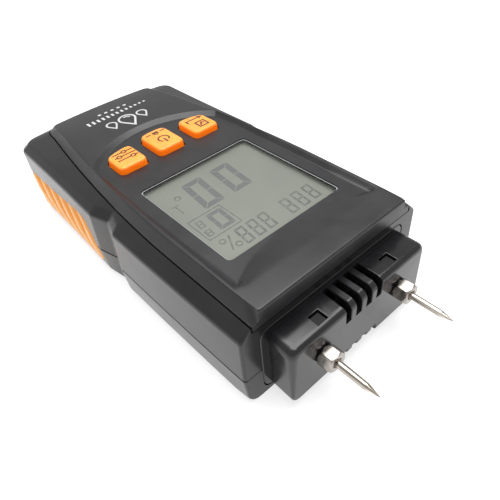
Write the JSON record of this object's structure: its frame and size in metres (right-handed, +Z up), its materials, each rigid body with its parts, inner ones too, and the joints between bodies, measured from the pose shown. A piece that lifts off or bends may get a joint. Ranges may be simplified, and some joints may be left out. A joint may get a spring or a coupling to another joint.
{
  "type": "pin moisture meter",
  "caption": "Hand-held pin moisture meter with a waisted case, display window, orange keys and side grips, and a black probe head with two steel needles.",
  "frame": {"origin": "middle of the bounding box at its base: under the middle of the whole meter, on the surface it lies on", "axes": "+Y along the meter from its tail to the needle tips, +Z up out of the display, X across the case"},
  "size_m": [0.0748, 0.1616, 0.0357],
  "materials": {
    "casing_plastic": "fine-textured dark charcoal ABS",
    "gloss_plastic": "polished black ABS",
    "grip_rubber": "soft orange moulded rubber",
    "key_plastic": "satin orange moulded keys",
    "lens_clear": "clear polished acrylic window",
    "lcd_glass": "grey-green reflective display glass",
    "white_plastic": "white diffusing plastic",
    "board_green": "green solder mask",
    "black_plastic": "plain black moulding",
    "bright_steel": "nickel-plated steel",
    "brass": "machined brass",
    "red_sleeve": "red lead insulation",
    "battery_can": "printed metal can"
  },
  "bodies": {
    "case": {"upper_shell": "casing_plastic", "lower_shell": "casing_plastic", "front_panel": "casing_plastic", "probe_head": "gloss_plastic", "grip_left": "grip_rubber", "grip_right": "grip_rubber", "display_lens": "lens_clear", "lcd_glass": "lcd_glass", "backlight": "white_plastic", "humidity_sensor": "white_plastic", "sensor_ribbon": "white_plastic", "main_board": "board_green", "sensor_board": "board_green", "probe_carrier": "black_plastic", "lcd_frame": "black_plastic", "contact_strip_tail": "black_plastic", "contact_strip_head": "black_plastic", "controller_chip": "black_plastic", "buzzer": "black_plastic", "battery_snap": "black_plastic", "battery_lead_black": "black_plastic", "probe_lead_left": "black_plastic", "switch_set": "bright_steel", "switch_power": "bright_steel", "switch_enter": "bright_steel", "case_screw_head_left": "bright_steel", "case_screw_head_right": "bright_steel", "case_screw_tail_left": "bright_steel", "case_screw_tail_right": "bright_steel", "board_screw_head_left": "bright_steel", "board_screw_head_right": "bright_steel", "board_screw_tail_left": "bright_steel", "board_screw_tail_right": "bright_steel", "pin_socket_left": "brass", "pin_socket_right": "brass", "battery_lead_red": "red_sleeve", "probe_lead_right": "red_sleeve", "battery": "battery_can", "battery_pad": "black_plastic"},
    "key_set": {"button_set": "key_plastic", "plunger_set": "black_plastic"},
    "key_power": {"button_power": "key_plastic", "plunger_power": "black_plastic"},
    "key_enter": {"button_enter": "key_plastic", "plunger_enter": "black_plastic"},
    "pin_left": {"needle_left": "bright_steel", "pin_nut_left": "bright_steel"},
    "pin_right": {"needle_right": "bright_steel", "pin_nut_right": "bright_steel"},
    "door": {"battery_door": "casing_plastic"}
  },
  "joints": [
    {"name": "press_set", "type": "slide", "parent": "case", "child": "key_set", "axis": [0, 0, -1], "range_m": [0, 0.0008], "stiffness_N_per_m": 800, "springref_m": -0.0004},
    {"name": "press_power", "type": "slide", "parent": "case", "child": "key_power", "axis": [0, 0, -1], "range_m": [0, 0.0008], "stiffness_N_per_m": 800, "springref_m": -0.0004},
    {"name": "press_enter", "type": "slide", "parent": "case", "child": "key_enter", "axis": [0, 0, -1], "range_m": [0, 0.0008], "stiffness_N_per_m": 800, "springref_m": -0.0004},
    {"name": "unscrew_pin_left", "type": "slide", "parent": "case", "child": "pin_left", "axis": [0, 1, 0], "range_m": [0, 0.014]},
    {"name": "unscrew_pin_right", "type": "slide", "parent": "case", "child": "pin_right", "axis": [0, 1, 0], "range_m": [0, 0.014]},
    {"name": "slide_battery_door", "type": "slide", "parent": "case", "child": "door", "axis": [0, -1, 0], "range_m": [0, 0.062]}
  ]
}
